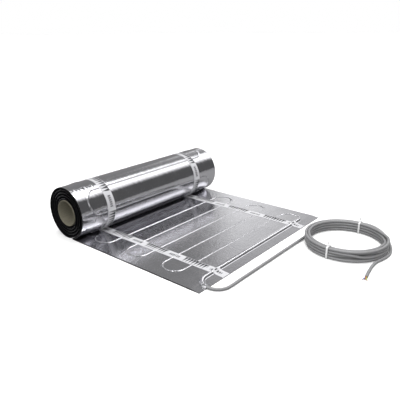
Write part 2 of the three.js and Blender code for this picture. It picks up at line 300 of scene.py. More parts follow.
# %% A tree with one method for any node
class Tree:
    """A node tree with one method for any node."""

    def __init__(self, tree):
        self.tree = tree

    def node(self, kind, values=None, output=0, stops=None, points=None, **settings):
        """A new node: first its settings, ramp stops or curve points, then its sockets."""
        made = self.tree.nodes.new(kind)
        for name, setting in settings.items():
            setattr(made, name, setting)
        if stops:
            ramp = made.color_ramp.elements
            while len(ramp) < len(stops):
                ramp.new(0.5)
            for element, (place, colour) in zip(ramp, stops):
                element.position = place
                element.color = (*colour, 1)
        if points:
            curve = made.mapping.curves[0]
            while len(curve.points) < len(points):
                curve.points.new(0.5, 0.5)
            for point, place in zip(curve.points, points):
                point.location = place
            made.mapping.update()
        for key, value in (values or {}).items():
            self.plug(value, find_socket(made.inputs, key))
        return Wire(self, find_socket(made.outputs, output)) if made.outputs else made

    def plug(self, value, socket):
        if isinstance(value, Wire):
            self.tree.links.new(value.socket, socket)
        else:
            socket.default_value = value

    def noise(self, place, scale, detail=3, roughness=0.5):
        values = {"Vector": place, "Scale": scale, "Detail": detail, "Roughness": roughness}
        return self.node("ShaderNodeTexNoise", values)

    def stretched(self, place, stretch):
        return self.node("ShaderNodeMapping", {"Vector": place, "Scale": stretch})

    def blend(self, part, first, second):
        values = {"Factor_Float": part, "A_Color": (*first, 1), "B_Color": (*second, 1)}
        return self.node("ShaderNodeMix", values, output="Result_Color", data_type="RGBA")

    def bump(self, height, distance, strength=1.0, normal=None):
        values = {"Height": height, "Distance": distance, "Strength": strength}
        if normal:
            values["Normal"] = normal
        return self.node("ShaderNodeBump", values)

    def split(self, vector):
        made = self.node("ShaderNodeSeparateXYZ", {"Vector": vector})
        return [Wire(self, socket) for socket in made.socket.node.outputs]


print("a tree makes:", [name for name in vars(Tree) if not name.startswith("_")])


# %% Starting and ending a material
def new_material(name):
    """A material with an empty tree, and its tree."""
    material = bpy.data.materials.new(name)
    material.use_nodes = True
    material.node_tree.nodes.clear()
    return material, Tree(material.node_tree)


def finish_material(tree, values):
    """The shader with its values or links, as the material's surface."""
    shader = tree.node("ShaderNodeBsdfPrincipled", values)
    tree.node("ShaderNodeOutputMaterial", {"Surface": shader})


print("materials before the first finish:", len(bpy.data.materials))

# %% [markdown]
# ## How the mat lies
# Flat on the floor the foil is a plane, and at the roll's foot it turns back and goes up over the
# roll. One function gives the roll's radius for each degree that has been wound. The outer turn is
# round. At the bottom it steps inwards by the mat's thickness, because the next turn starts there,
# and from then on each turn is one pitch smaller.

# %% The winding
FOIL_TOP = 3.0
TURN_PITCH = 7.0
FOOT = math.degrees(math.acos(FOIL_TOP / ROLL_RADIUS - 1))
FLAT_PATH = -FRONT - ROLL_RADIUS * math.sin(math.radians(FOOT))
BOTTOM = FOOT + 180
STEP_IN = 3.2
STEP_LENGTH = 18
CORE_GAP = 0.4
PER_DEGREE = math.radians(ROLL_RADIUS)
wound_depth = ROLL_RADIUS - STEP_IN - CORE_RADIUS - FOIL_TOP - CORE_GAP
LAST_WOUND = BOTTOM + STEP_LENGTH + 360 * wound_depth / TURN_PITCH


def turn_radius(wound):
    """Outer radius of the foil after some degrees of winding, counted from the roll's foot."""
    step = STEP_IN * smooth(wound, BOTTOM, BOTTOM + STEP_LENGTH)
    return ROLL_RADIUS - step - TURN_PITCH * max(wound - BOTTOM - STEP_LENGTH, 0) / 360


def on_roll(wound, depth=0):
    """The y and z of a point of the winding, some depth below the foil."""
    angle = math.radians(FOOT - wound)
    radius = turn_radius(wound) - depth
    return (-radius * math.sin(angle), ROLL_RADIUS + radius * math.cos(angle))


print("foot at", round(FOOT, 2), "degrees, turns", round(LAST_WOUND / 360, 2))

# %% [markdown]
# ## The cable's way
# The foil is shaped while it is still flat, because the distance to a cable is easy to measure there.
# The cable is a zigzag: straight runs and half loops at alternate sides. The plan goes into two small
# helper meshes of edges, one for the thin heating cable and one for the thicker end of the lead.

# %% The cable in the flat plan
NEAR_X = 55
FAR_X = WIDTH - NEAR_X
FIRST_RUN = 29
RUN_SPACING = 56
FLAT_RUNS = 7
ROLL_RUNS = [147.5, 91.5, 35.5, -20.5, -76.5, -132.5]
LOOP_POINTS = 24
HELD_BEND_DEGREES = range(90, 181, 6)
HELD_PAST_EDGE = 10


def plan_on_roll(degrees):
    """How far along the mat a place of the roll lies: 0 degrees is the top, positive in front."""
    return FLAT_PATH + (FOOT - degrees) * PER_DEGREE


def half_loop(side, start, end, part=1.0):
    """Points of a loop from one run to the next, or of the first part of one."""
    count = round(LOOP_POINTS * part)
    base = FAR_X if side > 0 else NEAR_X
    places = []
    for number in range(count + 1):
        angle = math.pi * part * number / count
        along = mix(start, end, (1 - math.cos(angle)) / 2)
        places.append((base + side * RUN_SPACING / 2 * math.sin(angle), along))
    return places


print("one loop:", len(half_loop(1, 0, RUN_SPACING)), "points")

# %% The zigzag and the held end of the lead
flat_runs = [FIRST_RUN + number * RUN_SPACING for number in range(FLAT_RUNS)]
flat_cable = []
for number, (start, end) in enumerate(zip(flat_runs, flat_runs[1:])):
    flat_cable += half_loop(1 if number % 2 == 0 else -1, start, end)
flat_cable += half_loop(1, flat_runs[-1], flat_runs[-1] + RUN_SPACING, 3 / 8)

wound_runs = [plan_on_roll(degrees) for degrees in ROLL_RUNS]
roll_step = wound_runs[1] - wound_runs[0]
roll_cable = half_loop(-1, wound_runs[0], wound_runs[0] - roll_step, 1 / 4)[::-1]
for number, (start, end) in enumerate(zip(wound_runs, wound_runs[1:])):
    roll_cable += half_loop(1 if number % 2 == 0 else -1, start, end)
roll_cable += half_loop(-1, wound_runs[-1], wound_runs[-1] + roll_step, 3 / 8)

held_lead = [(FAR_X, FIRST_RUN)]
for degrees in HELD_BEND_DEGREES:
    angle = math.radians(degrees)
    held_x = LEAD_TURN[0] + LEAD_TURN_RADIUS * math.cos(angle)
    held_lead.append((held_x, LEAD_TURN[1] - FRONT + LEAD_TURN_RADIUS * math.sin(angle)))
held_lead.append((held_lead[-1][0], -HELD_PAST_EDGE))
print("points on the flat length:", len(flat_cable), "on the roll:", len(roll_cable))


# %% The plan as edges
def plan_lines(name, routes):
    """An object of edges only, in the flat plan, for the foil's tree to measure distances to."""
    places = []
    edges = []
    for route in routes:
        edges += [(len(places) + i, len(places) + i + 1) for i in range(len(route) - 1)]
        places += [(x * MM, along * MM, 0) for x, along in route]
    lines = bpy.data.meshes.new(name)
    lines.from_pydata(places, edges, [])
    return bpy.data.objects.new(name, lines)


cable_plan = plan_lines("cable_plan", [flat_cable, roll_cable])
lead_plan = plan_lines("lead_plan", [held_lead])
print("cable plan edges:", len(cable_plan.data.edges), "lead plan edges:", len(lead_plan.data.edges))

# %% [markdown]
# ## Foil finish
# The foil is bare aluminium laminate: almost a mirror, a little milky, with fine creases. All detail
# is in the tone, the roughness and the bump, on the sheet's own flat plan, kept as a UV map in metres.
# Stretched noise gives the faint drawn lines round the roll, and sharp thin noise the creases.
# Where the foil is pressed over a cable it is duller and has fine ribs. The sheet's attribute called
# ridge, which is 1 over a cable and 0 beside it, says where that is.

# %% Foil material
CREASE_RELIEF = 0.5
DRAWN_RELIEF = 5
DRAWN_RELIEF_WHEN_FLAT = 0.6
GRAIN_RELIEF = 0.05
RIB_RELIEF = 4
RIB_PITCH = 0.0042
CREASE_SHARPNESS = 9

foil_finish, tree = new_material("bright_foil")
plan = tree.node("ShaderNodeUVMap", uv_map="plan")
plan_x, plan_along = tree.split(plan)[:2]
patches = tree.noise(plan, 22, 4)
drawn = tree.noise(tree.stretched(plan, (240, 45, 1)), 1, 3)
creases = tree.noise(tree.stretched(plan, (60, 95, 1)), 1, 6, 0.6)
crease_line = ((creases - 0.5).math("ABSOLUTE") * CREASE_SHARPNESS).math("MINIMUM", 1)
flat_part = plan_along < FLAT_PATH * MM
grain = tree.noise(plan, 900, 2)
near_cable = tree.node("ShaderNodeAttribute", output="Fac", attribute_name="ridge")
ribs = (plan_x * (2 * math.pi / RIB_PITCH)).math("SINE") * near_cable
drawn_relief = DRAWN_RELIEF - flat_part * (DRAWN_RELIEF - DRAWN_RELIEF_WHEN_FLAT)
relief = crease_line * flat_part * CREASE_RELIEF + drawn * drawn_relief
relief = relief + grain * GRAIN_RELIEF + ribs * RIB_RELIEF
tone = tree.blend(patches, (0.60, 0.60, 0.63), (0.74, 0.735, 0.765))
wrinkled = (1 - crease_line) * 0.04 + near_cable * 0.14
foil_values = {
    "Base Color": tone,
    "Metallic": 1.0,
    "Roughness": 0.07 + patches * 0.07 + wrinkled * flat_part,
    "Normal": tree.bump(relief, distance=0.00022, strength=0.55),
}
finish_material(tree, foil_values)
print("foil nodes:", len(foil_finish.node_tree.nodes))

# %% [markdown]
# ## Foil and tapes
# Everything that lies on the mat follows one rule, so one geometry tree makes it. It starts from a
# flat grid, lifts the grid into a ridge where the cable is near, adds soft dents, and then lays the
# sheet on the floor and round the roll. Along the front edge the sheet is pinched down, so that no
# thick edge shows, except where the lead passes. The tree keeps the flat plan as a UV map and the
# ridges as an attribute, for the materials. The grid is finer across the ridges than elsewhere, which
# saves triangles. A Solidify modifier gives the sheet its thickness.

# %% The drape's named inputs
CABLE_SHAPE = [(0, 1), (0.24, 0.88), (0.44, 0.5), (0.66, 0.14), (1, 0)]
LEAD_SHAPE = [(0, 1), (0.25, 0.93), (0.45, 0.75), (0.56, 0.58), (0.7, 0.33), (0.85, 0.12), (1, 0)]
PINCH = 1.9
PINCH_REACH = 22
SMALL_DENT_SHARE = 0.3
ROLL_DENT_SHARE = 0.15

drape = bpy.data.node_groups.new("drape_over_cable", "GeometryNodeTree")
DRAPE_INPUTS = [
    ("Sheet", "NodeSocketGeometry"),
    ("Cable", "NodeSocketObject"),
    ("Lead", "NodeSocketObject"),
    ("Finish", "NodeSocketMaterial"),
    ("Lift", "NodeSocketFloat"),
    ("Cable ridge", "NodeSocketFloat"),
    ("Cable spread", "NodeSocketFloat"),
    ("Lead ridge", "NodeSocketFloat"),
    ("Lead spread", "NodeSocketFloat"),
    ("Dents", "NodeSocketFloat"),
    ("Flat path", "NodeSocketFloat"),
    ("Roll radius", "NodeSocketFloat"),
]
drape_keys = {}
for socket_name, socket_kind in DRAPE_INPUTS:
    made = drape.interface.new_socket(socket_name, in_out="INPUT", socket_type=socket_kind)
    drape_keys[socket_name] = made.identifier
drape.interface.new_socket("Sheet", in_out="OUTPUT", socket_type="NodeSocketGeometry")
print("drape inputs:", list(drape_keys))

# %% How high the sheet lies
tree = Tree(drape)
group = drape.nodes.new("NodeGroupInput")
given = {name: Wire(tree, group.outputs[number]) for number, (name, kind) in enumerate(DRAPE_INPUTS)}
place = tree.node("GeometryNodeInputPosition")
x, along = tree.split(place)[:2]


def ridge(lines, spread, shape_points):
    """1 over the lines, falling to 0 at the spread."""
    shape = tree.node("GeometryNodeObjectInfo", {"Object": lines}, output="Geometry")
    values = {"Target": shape, "Source Position": place}
    near = tree.node("GeometryNodeProximity", values, output="Distance", target_element="EDGES")
    part = (near / spread).math("MINIMUM", 1)
    return tree.node("ShaderNodeFloatCurve", {"Value": part}, points=shape_points)


over_cable = ridge(given["Cable"], given["Cable spread"], CABLE_SHAPE)
over_lead = ridge(given["Lead"], given["Lead spread"], LEAD_SHAPE)
cable_height = over_cable * given["Cable ridge"]
lead_height = over_lead * given["Lead ridge"]
wide_dents = tree.noise(place, 26, 1) - 0.5
small_dents = tree.noise(place, 90, 1) - 0.5
on_floor = along < given["Flat path"]
dent_share = ROLL_DENT_SHARE + on_floor * (1 - ROLL_DENT_SHARE)
dents = (wide_dents + small_dents * SMALL_DENT_SHARE) * given["Dents"] * dent_share
height = cable_height.math("MAXIMUM", lead_height) + dents + given["Lift"]
from_edge = (along / (PINCH_REACH * MM)).math("MINIMUM", 1)
pinch = (1 - from_edge) * (1 - over_lead) * (PINCH * MM)
print("nodes for the height:", len(drape.nodes))

# %% The sheet laid on the floor and round the roll
flat_place = tree.node(
    "ShaderNodeCombineXYZ",
    {"X": x + LEFT * MM, "Y": along + (FRONT + AXIS_Y) * MM, "Z": height - pinch + FOIL_TOP * MM},
)
angle = math.radians(FOOT) - (along - given["Flat path"]) / given["Roll radius"]
reach = given["Roll radius"] + height
roll_place = tree.node(
    "ShaderNodeCombineXYZ",
    {
        "X": x + LEFT * MM,
        "Y": AXIS_Y * MM - reach * angle.math("SINE"),
        "Z": given["Roll radius"] + reach * angle.math("COSINE"),
    },
)
laid = tree.node(
    "ShaderNodeMix",
    {"Factor_Float": on_floor, "A_Vector": roll_place, "B_Vector": flat_place},
    output="Result_Vector",
    data_type="VECTOR",
)
sheet = tree.node(
    "GeometryNodeStoreNamedAttribute",
    {"Geometry": given["Sheet"], "Name": "plan", "Value": place},
    data_type="FLOAT2",
    domain="CORNER",
)
sheet = tree.node(
    "GeometryNodeStoreNamedAttribute",
    {"Geometry": sheet, "Name": "ridge", "Value": over_cable.math("MAXIMUM", over_lead)},
    data_type="FLOAT",
    domain="POINT",
)
sheet = tree.node("GeometryNodeSetPosition", {"Geometry": sheet, "Position": laid})
sheet = tree.node("GeometryNodeRealizeInstances", {"Geometry": sheet})
sheet = tree.node("GeometryNodeSetMaterial", {"Geometry": sheet, "Material": given["Finish"]})
tree.node("NodeGroupOutput", {0: sheet})
print("drape nodes:", len(drape.nodes))


# %% A flat grid
def steps(low, high, fine_places, reach, fine, coarse):
    """Places from low to high, close together near the fine places.

    Where a step lands exactly on the start of a fine stretch, the next step is still a coarse one.
    """
    places = [low]
    while places[-1] < high - fine / 2:
        here = places[-1]
        near = any(abs(here - place) < reach for place in fine_places)
        coming = min([place - reach for place in fine_places if place - reach > here] + [high])
        step = fine if near else min(coarse, max(coming - here, fine))
        places.append(min(here + step, high))
    return places


def plain_grid(name, columns, rows):
    """A flat sheet of four-sided faces with a corner at each column and row."""
    corners = [(x * MM, along * MM, 0) for along in rows for x in columns]
    wide = len(columns)
    faces = []
    for row in range(len(rows) - 1):
        for column in range(wide - 1):
            first = row * wide + column
            faces.append((first, first + 1, first + wide + 1, first + wide))
    grid = bpy.data.meshes.new(name)
    grid.from_pydata(corners, [], faces)
    piece = bpy.data.objects.new(name, grid)
    bpy.context.collection.objects.link(piece)
    return piece


print("ten millimetres, fine in the middle:", steps(0, 10, [5], reach=2, fine=1, coarse=3))


# %% The drape on a grid
CABLE_RIDGE = 1.25
CABLE_SPREAD = 2.0
LEAD_RIDGE = 4.9
LEAD_SPREAD = 6.2
DENTS = 0.05
SHEET_SHARP_DEGREES = 62


def apply_modifiers(piece):
    """Turns the evaluated shape into the piece's own plain mesh."""
    bpy.context.view_layer.update()
    seen = piece.evaluated_get(bpy.context.evaluated_depsgraph_get())
    made = bpy.data.meshes.new_from_object(seen)
    piece.modifiers.clear()
    piece.data = made
    return made


def drape_sheet(piece, finish, lift, thickness):
    """Lays a flat grid over the cable, on the floor and round the roll, and gives it a wall."""
    modifier = piece.modifiers.new("drape", "NODES")
    modifier.node_group = drape
    values = {
        "Cable": cable_plan,
        "Lead": lead_plan,
        "Finish": finish,
        "Lift": lift * MM,
        "Cable ridge": CABLE_RIDGE * MM,
        "Cable spread": CABLE_SPREAD * MM,
        "Lead ridge": LEAD_RIDGE * MM,
        "Lead spread": LEAD_SPREAD * MM,
        "Dents": DENTS * MM,
        "Flat path": FLAT_PATH * MM,
        "Roll radius": ROLL_RADIUS * MM,
    }
    for socket_name, value in values.items():
        modifier[drape_keys[socket_name]] = value
    wall = piece.modifiers.new("wall", "SOLIDIFY")
    wall.thickness = thickness * MM
    wall.offset = -1
    made = apply_modifiers(piece)
    made.shade_smooth()
    made.set_sharp_from_angle(angle=math.radians(SHEET_SHARP_DEGREES))
    return made


print("ridges:", CABLE_RIDGE, "mm over the cable and", LEAD_RIDGE, "mm over the lead")

# %% The foil
FOIL_THICKNESS = 0.3
FOIL_ENDS_AT = -180
LOOP_MIDDLES = [NEAR_X - RUN_SPACING / 4, FAR_X + RUN_SPACING / 4]
LEAD_BEND_ROWS = [0, 8, 16, 24]

fine_columns = LOOP_MIDDLES + [LEAD_TURN[0] - LEAD_TURN_RADIUS]
fine_rows = LEAD_BEND_ROWS + flat_runs + wound_runs
foil_columns = steps(0, WIDTH, fine_columns, reach=20, fine=1.7, coarse=6)
foil_rows = steps(0, plan_on_roll(FOIL_ENDS_AT), fine_rows, reach=3.6, fine=0.9, coarse=2.9)
foil = plain_grid("foil_sheet", foil_columns, foil_rows)
foil_mesh = drape_sheet(foil, foil_finish, lift=0, thickness=FOIL_THICKNESS)
print("foil rows", len(foil_rows), "columns", len(foil_columns), "faces", len(foil_mesh.polygons))

# %% [markdown]
# ## Inner turns and underlay
# The end of the roll shows the turns: black underlay with a thin line of foil on each. They are real
# strips that follow the winding, so the gaps between them are truly deep and dark. Each turn stands
# a fraction of a millimetre in or out, as turns do in a real roll.

# %% From corners to a finished piece
def as_piece(mesh, name, finish, sharp_degrees):
    """An object from a bmesh, with its faces turned outwards and its sharp edges kept sharp."""
    bmesh.ops.recalc_face_normals(mesh, faces=mesh.faces)
    made = bpy.data.meshes.new(name)
    mesh.to_mesh(made)
    mesh.free()
    made.materials.append(finish)
    made.shade_smooth()
    made.set_sharp_from_angle(angle=math.radians(sharp_degrees))
    piece = bpy.data.objects.new(name, made)
    bpy.context.collection.objects.link(piece)
    return piece


def join_rings(mesh, rings):
    """Faces from each closed ring of corners to the next, and from the last to the first."""
    count = len(rings[0])
    for first, second in zip(rings, rings[1:] + rings[:1]):
        for i in range(count):
            j = (i + 1) % count
            mesh.faces.new((first[i], first[j], second[j], second[i]))


# %% A strip that follows the winding
END_WANDER = 0.9
SLOW_WANDER = 0.23
FAST_WANDER = 0.71


def turn_edge(wound):
    """How far a turn's edge lies inside the mat's side, from 0 to END_WANDER."""
    slow = math.cos(math.radians(wound * SLOW_WANDER))
    fast = math.cos(math.radians(wound * FAST_WANDER))
    return END_WANDER * (0.5 - 0.5 * fast * slow)


def strip(name, outer, inner, edges, finish):
    """A closed mesh across the mat from two matching outlines in the y-z plane."""
    mesh = bmesh.new()
    rails = []
    for line in (outer, inner):
        left = [mesh.verts.new(at(edge, *place)) for place, edge in zip(line, edges)]
        right = [mesh.verts.new(at(WIDTH - edge, *place)) for place, edge in zip(line, edges)]
        rails += [left, right]
    outer_left, outer_right, inner_left, inner_right = rails
    loop = [outer_left, outer_right, inner_right, inner_left]
    for first, second in zip(loop, loop[1:] + loop[:1]):
        for i in range(len(edges) - 1):
            mesh.faces.new((first[i], second[i], second[i + 1], first[i + 1]))
    mesh.faces.new([line[0] for line in reversed(loop)])
    mesh.faces.new([line[-1] for line in loop])
    return as_piece(mesh, name, finish, sharp_degrees=40)


print("a turn's edge after 0, 1 and 2 turns:", [round(turn_edge(360 * turns), 2) for turns in range(3)])

# %% Underlay material
underlay_finish, tree = new_material("black_underlay")
place = tree.node("ShaderNodeTexCoord", output="Object")
cells = tree.noise(place, 1400, 2)
cloud = tree.noise(place, 120, 3)
underlay_values = {
    "Base Color": tree.blend(cloud, (0.003, 0.003, 0.0035), (0.008, 0.008, 0.009)),
    "Roughness": 0.75 + cloud * 0.2,
    "Specular IOR Level": 0.08,
    "Normal": tree.bump(cells, distance=0.0003, strength=0.5),
}
finish_material(tree, underlay_values)
print("underlay nodes:", len(underlay_finish.node_tree.nodes))

# %% Underlay: the flat length, the fold at the roll's foot and all turns
UNDERLAY_DEPTH = 0.4
FOLD_OUTSIDE = [(1, UNDERLAY_DEPTH), (1.4, 0.2)]
FOLD_INSIDE = [(3.5, FOIL_TOP), (5.2, 0.4)]
FIRST_WOUND = 2
EDGE_STRAIGHT_TO = 90
TURN_STEP = 4

fold_y = -ROLL_RADIUS * math.sin(math.radians(FOOT))
underlay_top = FOIL_TOP - UNDERLAY_DEPTH
outer_line = [(FRONT, underlay_top - PINCH), (FRONT + PINCH_REACH, underlay_top)]
inner_line = [(FRONT, 0), (FRONT + PINCH_REACH, 0)]
outer_line += [(fold_y + behind, FOIL_TOP - depth) for behind, depth in FOLD_OUTSIDE]
inner_line += [(fold_y + behind, FOIL_TOP - depth) for behind, depth in FOLD_INSIDE]
edge_line = [0] * len(outer_line)
wound = FIRST_WOUND
while wound < LAST_WOUND:
    outer_line.append(on_roll(wound, UNDERLAY_DEPTH))
    inner_line.append(on_roll(wound, FOIL_TOP))
    edge_line.append(turn_edge(wound) * smooth(wound, 0, EDGE_STRAIGHT_TO))
    wound += TURN_STEP
underlay = strip("black_underlay", outer_line, inner_line, edge_line, underlay_finish)
print("underlay faces", len(underlay.data.polygons))

# %% The foil's edge in the inner turns
INNER_FOIL_TOP = 0.05
INNER_FOIL_BACK = 0.35
INNER_FOIL_INSET = 0.3

inner_foil_top = []
inner_foil_back = []
inner_foil_edges = []
wound = BOTTOM + 1
while wound < LAST_WOUND:
    inner_foil_top.append(on_roll(wound, INNER_FOIL_TOP))
    inner_foil_back.append(on_roll(wound, INNER_FOIL_BACK))
    inner_foil_edges.append(turn_edge(wound) + INNER_FOIL_INSET)
    wound += TURN_STEP
inner_foil = strip("inner_foil", inner_foil_top, inner_foil_back, inner_foil_edges, foil_finish)
print("inner foil faces", len(inner_foil.data.polygons))

# %% [markdown]
# ## Core
# The core is a thin board tube, open right through. Its wall's outline is a rectangle with softened
# corners, and rings of that outline round the roll's axis give a tube that is closed all over and
# keeps its bore. Stretched noise gives the board's fibres.

# %% Core material
core_finish, tree = new_material("wound_board")
place = tree.node("ShaderNodeTexCoord", output="Object")
fibres = tree.noise(tree.stretched(place, (90, 500, 500)), 1, 4)
specks = tree.noise(place, 700, 2)
board_values = {
    "Base Color": tree.blend(fibres, (0.12, 0.111, 0.081), (0.20, 0.185, 0.137)),
    "Roughness": 0.75 + specks * 0.15,
    "Normal": tree.bump(fibres + specks * 0.5, distance=0.0004, strength=0.5),
}
finish_material(tree, board_values)
print("core nodes:", len(core_finish.node_tree.nodes))

# %% Core
CORE_WALL = 2
CORE_ROUND = 0.35
CORE_SIDES = 96


def ring_piece(name, profile, sides, finish):
    """A closed ring about the roll's axis from a closed outline of (x, radius)."""
    rings = []
    mesh = bmesh.new()
    for number in range(sides):
        angle = 2 * math.pi * number / sides
        ring = []
        for x, radius in profile:
            height = ROLL_RADIUS + radius * math.cos(angle)
            ring.append(mesh.verts.new(at(x, -radius * math.sin(angle), height)))
        rings.append(ring)
    join_rings(mesh, rings)
    return as_piece(mesh, name, finish, sharp_degrees=50)


core_inner = CORE_RADIUS - CORE_WALL
core_corners = [(0, core_inner), (0, CORE_RADIUS), (WIDTH, CORE_RADIUS), (WIDTH, core_inner)]
core_profile = []
for x, radius in core_corners:
    inward_x = CORE_ROUND if x == 0 else -CORE_ROUND
    inward_radius = CORE_ROUND if radius == core_inner else -CORE_ROUND
    corner = [(x, radius + inward_radius), (x + inward_x, radius)]
    core_profile += corner if (x == 0) == (radius == CORE_RADIUS) else corner[::-1]
core = ring_piece("board_core", core_profile, CORE_SIDES, core_finish)
print("core faces", len(core.data.polygons))

# %% [markdown]
# ## Tapes
# Two strips of white printed film hold the cable. They lie on the foil and climb over each ridge, so
# the same tree drapes them, a little higher. Their print is plain and comes from the flat plan: a
# length of small bars along the middle, then a length of triangles across the width, and so on.

# %% Tape material
TAPE_WIDTH = 23
TAPE_INSET = 76.5
REPEAT = 0.118
BAR_PITCH = 0.0052
BAR_SHARE = 0.58
BARS_HALF_WIDTH = 0.17
BARS_START = 0.10
BARS_END = 0.36
TRIANGLE_PITCH = 0.0078
TRIANGLES_HALF_WIDTH = 0.46
TRIANGLES_START = 0.44

tape_finish, tree = new_material("printed_film")
plan = tree.node("ShaderNodeUVMap", uv_map="plan")
plan_x, plan_along = tree.split(plan)[:2]
tape_starts = {"left": TAPE_INSET, "right": WIDTH - TAPE_INSET - TAPE_WIDTH}
across_left = (plan_x - tape_starts["left"] * MM) / (TAPE_WIDTH * MM)
across_right = (plan_x - tape_starts["right"] * MM) / (TAPE_WIDTH * MM)
is_right = plan_x > WIDTH / 2 * MM
across_tape = across_left * (1 - is_right) + across_right * is_right
off_middle = (across_tape - 0.5).math("ABSOLUTE")
in_repeat = (plan_along / REPEAT).math("FRACT")
in_bar = (plan_along / BAR_PITCH).math("FRACT")
in_triangle = (plan_along / TRIANGLE_PITCH).math("FRACT")
bars = (off_middle < BARS_HALF_WIDTH) * (in_bar < BAR_SHARE)
bars = bars * (in_repeat > BARS_START) * (in_repeat < BARS_END)
triangles = (in_triangle - 0.5).math("ABSOLUTE") * 2 < across_tape
triangles = triangles * (off_middle < TRIANGLES_HALF_WIDTH) * (in_repeat > TRIANGLES_START)
marks = bars.math("MAXIMUM", triangles)
wrinkle = tree.noise(plan, 160, 3)
tape_values = {
    "Base Color": tree.blend(marks, (0.58, 0.58, 0.60), (0.03, 0.03, 0.035)),
    "Roughness": 0.28 + wrinkle * 0.2,
    "Normal": tree.bump(wrinkle, distance=0.0003, strength=0.5),
}
finish_material(tree, tape_values)
print("tape nodes:", len(tape_finish.node_tree.nodes))

# %% Tapes on the foil
TAPE_LIFT = 0.5
TAPE_THICKNESS = 0.25
TAPE_STARTS_AT = 0.4
TAPE_ENDS_AT = -176
TAPE_COLUMNS = 9

tape_rows = steps(
    TAPE_STARTS_AT, plan_on_roll(TAPE_ENDS_AT), flat_runs + wound_runs, reach=7, fine=1.3, coarse=2.9
)
tapes = {}
for side, start in tape_starts.items():
    tape_columns = list(np.linspace(start, start + TAPE_WIDTH, TAPE_COLUMNS))
    tapes[side] = plain_grid(f"printed_tape_{side}", tape_columns, tape_rows)
    tape_mesh = drape_sheet(tapes[side], tape_finish, TAPE_LIFT, TAPE_THICKNESS)
    print("tape", side, "faces", len(tape_mesh.polygons))

# %% [markdown]
# ## Lead and ties
# The lead's sheath is plain grey rubber with a soft sheen. Two white nylon ties hold the coil. A tie
# is a band round the bundle, a small locking head on top and the cut end of the strap.

# %% Lead material
lead_finish, tree = new_material("grey_sheath")
place = tree.node("ShaderNodeTexCoord", output="Object")
cloud = tree.noise(place, 60, 3)
fine = tree.noise(place, 1500, 2)
lead_values = {
    "Base Color": tree.blend(cloud, (0.22, 0.22, 0.225), (0.27, 0.27, 0.277)),
    "Roughness": 0.27 + cloud * 0.12,
    "Normal": tree.bump(fine, distance=0.0001, strength=0.4),
}
finish_material(tree, lead_values)
lead.data.materials.append(lead_finish)
print("lead finish:", lead.data.materials[0].name)

# %% Tie material
tie_finish, tree = new_material("white_nylon")
place = tree.node("ShaderNodeTexCoord", output="Object")
cloud = tree.noise(place, 200, 2)
tie_values = {
    "Base Color": tree.blend(cloud, (0.80, 0.80, 0.81), (0.88, 0.88, 0.885)),
    "Roughness": 0.32 + cloud * 0.1,
    "Normal": tree.bump(cloud, distance=0.0002, strength=0.3),
}
finish_material(tree, tie_values)
print("tie nodes:", len(tie_finish.node_tree.nodes))

# %% Where a tie lies
COIL_MIDDLE = (INNER_COLUMN + OUTER_COLUMN) / 2
COIL_HALF_WIDTH = STRAND_PITCH / 2 + LEAD_RADIUS
COIL_HALF_HEIGHT = 1.5 * STRAND_PITCH + LEAD_RADIUS
COIL_MIDDLE_HEIGHT = LOWEST_STRAND + 1.5 * STRAND_PITCH
TIE_ANGLES = {"left": 178, "right": 2}
TIE_WIDTH = 4.5
TIE_THICKNESS = 1.1
TIE_GAP = 0.3
TIE_EDGE = 0.3
BUNDLE_TOP = COIL_HALF_HEIGHT + TIE_GAP


def band_line(grow, corner_steps=6):
    """Points and outward directions of a rounded rectangle round the coil's section."""
    corner = LEAD_RADIUS + grow
    line = []
    half_width = COIL_HALF_WIDTH - LEAD_RADIUS
    half_height = COIL_HALF_HEIGHT - LEAD_RADIUS
    for quarter, (side, rise) in enumerate([(1, 1), (-1, 1), (-1, -1), (1, -1)]):
        middle = Vector((side * half_width, rise * half_height))
        for number in range(corner_steps + 1):
            angle = math.pi / 2 * (quarter + number / corner_steps)
            outwards = Vector((math.cos(angle), math.sin(angle)))
            line.append((middle + outwards * corner, outwards))
    return line


def tie_point(angle, section, along):
    """A point beside the coil: section is (out, up) from the middle of its turns."""
    radius = COIL_MIDDLE + section[0]
    x = COIL_CENTRE[0] + radius * math.cos(angle) - along * math.sin(angle)
    y = COIL_CENTRE[1] + radius * math.sin(angle) + along * math.cos(angle)
    return at(x, y, COIL_MIDDLE_HEIGHT + section[1])


print("bundle of turns:", round(2 * COIL_HALF_WIDTH, 2), "wide", round(2 * COIL_HALF_HEIGHT, 2), "high")

# %% Ties
HEAD = ((-2.75, 0.2, -3.25), (2.75, 5, 3.25))
STRAP_END = ((-0.5, 2.5, -1.8), (0.5, 12, 1.8))
RIB_COUNT = 9
RIB_STEP = 0.65
RIB_START = 5.6
RIB_SIZE = (0.4, 0.35, 2.6)
RIB_OUT = 0.35


def add_block(mesh, angle, low, high, bevel):
    """A block with softened edges, from its low and high corners: out, above the bundle, along."""
    verts = []
    for out in (low[0], high[0]):
        for up in (BUNDLE_TOP + low[1], BUNDLE_TOP + high[1]):
            verts += [mesh.verts.new(tie_point(angle, (out, up), along)) for along in (low[2], high[2])]
    sides = [(0, 1, 3, 2), (4, 6, 7, 5), (0, 4, 5, 1), (2, 3, 7, 6), (0, 2, 6, 4), (1, 5, 7, 3)]
    faces = [mesh.faces.new([verts[i] for i in side]) for side in sides]
    edges = {edge for face in faces for edge in face.edges}
    bmesh.ops.bevel(mesh, geom=list(edges), offset=bevel * MM, segments=3, affect="EDGES", profile=0.6)


